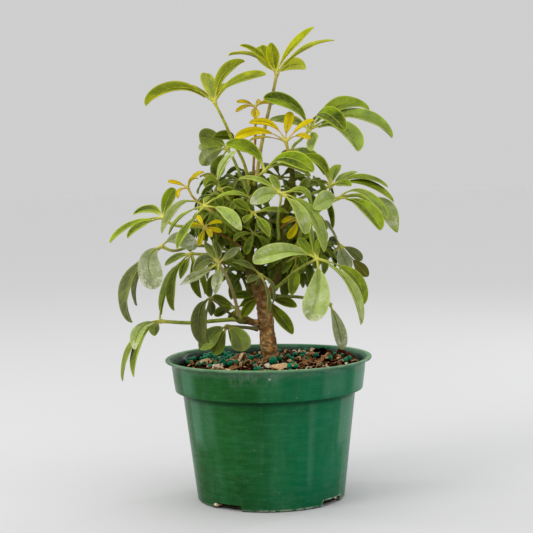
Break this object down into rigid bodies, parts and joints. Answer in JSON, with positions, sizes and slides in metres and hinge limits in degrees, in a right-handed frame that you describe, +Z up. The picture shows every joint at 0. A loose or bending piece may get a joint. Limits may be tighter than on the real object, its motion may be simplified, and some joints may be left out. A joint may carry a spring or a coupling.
{
  "type": "potted umbrella plant",
  "caption": "Variegated dwarf umbrella plant with a woody trunk and drooping compound leaves, growing in bark mix in a round tapered green plastic pot with a rolled rim.",
  "frame": {"origin": "centre of the flat underside of the pot, on the surface that it stands on", "axes": "+X to the right and +Y away as the plant is seen from its front, +Z up along the pot's axis"},
  "size_m": [0.2286, 0.1721, 0.3642],
  "materials": {
    "pot_plastic": "satin injection-moulded green plastic with light scuffs and water marks",
    "bark_mix": "damp dark bark mix with tan chips and teal fertiliser prills",
    "bark": "rough brown bark with leaf scars, greenish on the younger wood",
    "foliage": "leathery mid-green leaflets, pale at the midrib and margin, dusty with age",
    "young_foliage": "soft golden-yellow new leaflets"
  },
  "bodies": {
    "root": {"pot": "pot_plastic", "potting_mix": "bark_mix", "trunk": "bark", "leaf_01": "foliage", "leaf_02": "foliage", "leaf_03": "foliage", "leaf_04": "foliage", "leaf_05": "foliage", "leaf_06": "foliage", "leaf_07": "foliage", "leaf_08": "foliage", "leaf_09": "foliage", "leaf_10": "foliage", "leaf_11": "foliage", "leaf_12": "foliage", "leaf_13": "foliage", "leaf_14": "foliage", "leaf_15": "foliage", "leaf_16": "foliage", "leaf_17": "foliage", "leaf_18": "foliage", "leaf_19": "foliage", "leaf_20": "foliage", "leaf_21": "foliage", "leaf_22": "foliage", "leaf_23": "foliage", "leaf_24": "foliage", "leaf_back_1": "foliage", "leaf_back_2": "foliage", "leaf_back_3": "foliage", "leaf_back_4": "foliage", "leaf_back_5": "foliage", "leaf_back_6": "foliage", "leaf_back_7": "foliage", "leaf_back_8": "foliage", "young_leaf_1": "young_foliage", "young_leaf_2": "young_foliage", "young_leaf_3": "young_foliage", "young_leaf_4": "young_foliage", "young_leaf_5": "young_foliage"}
  },
  "joints": []
}
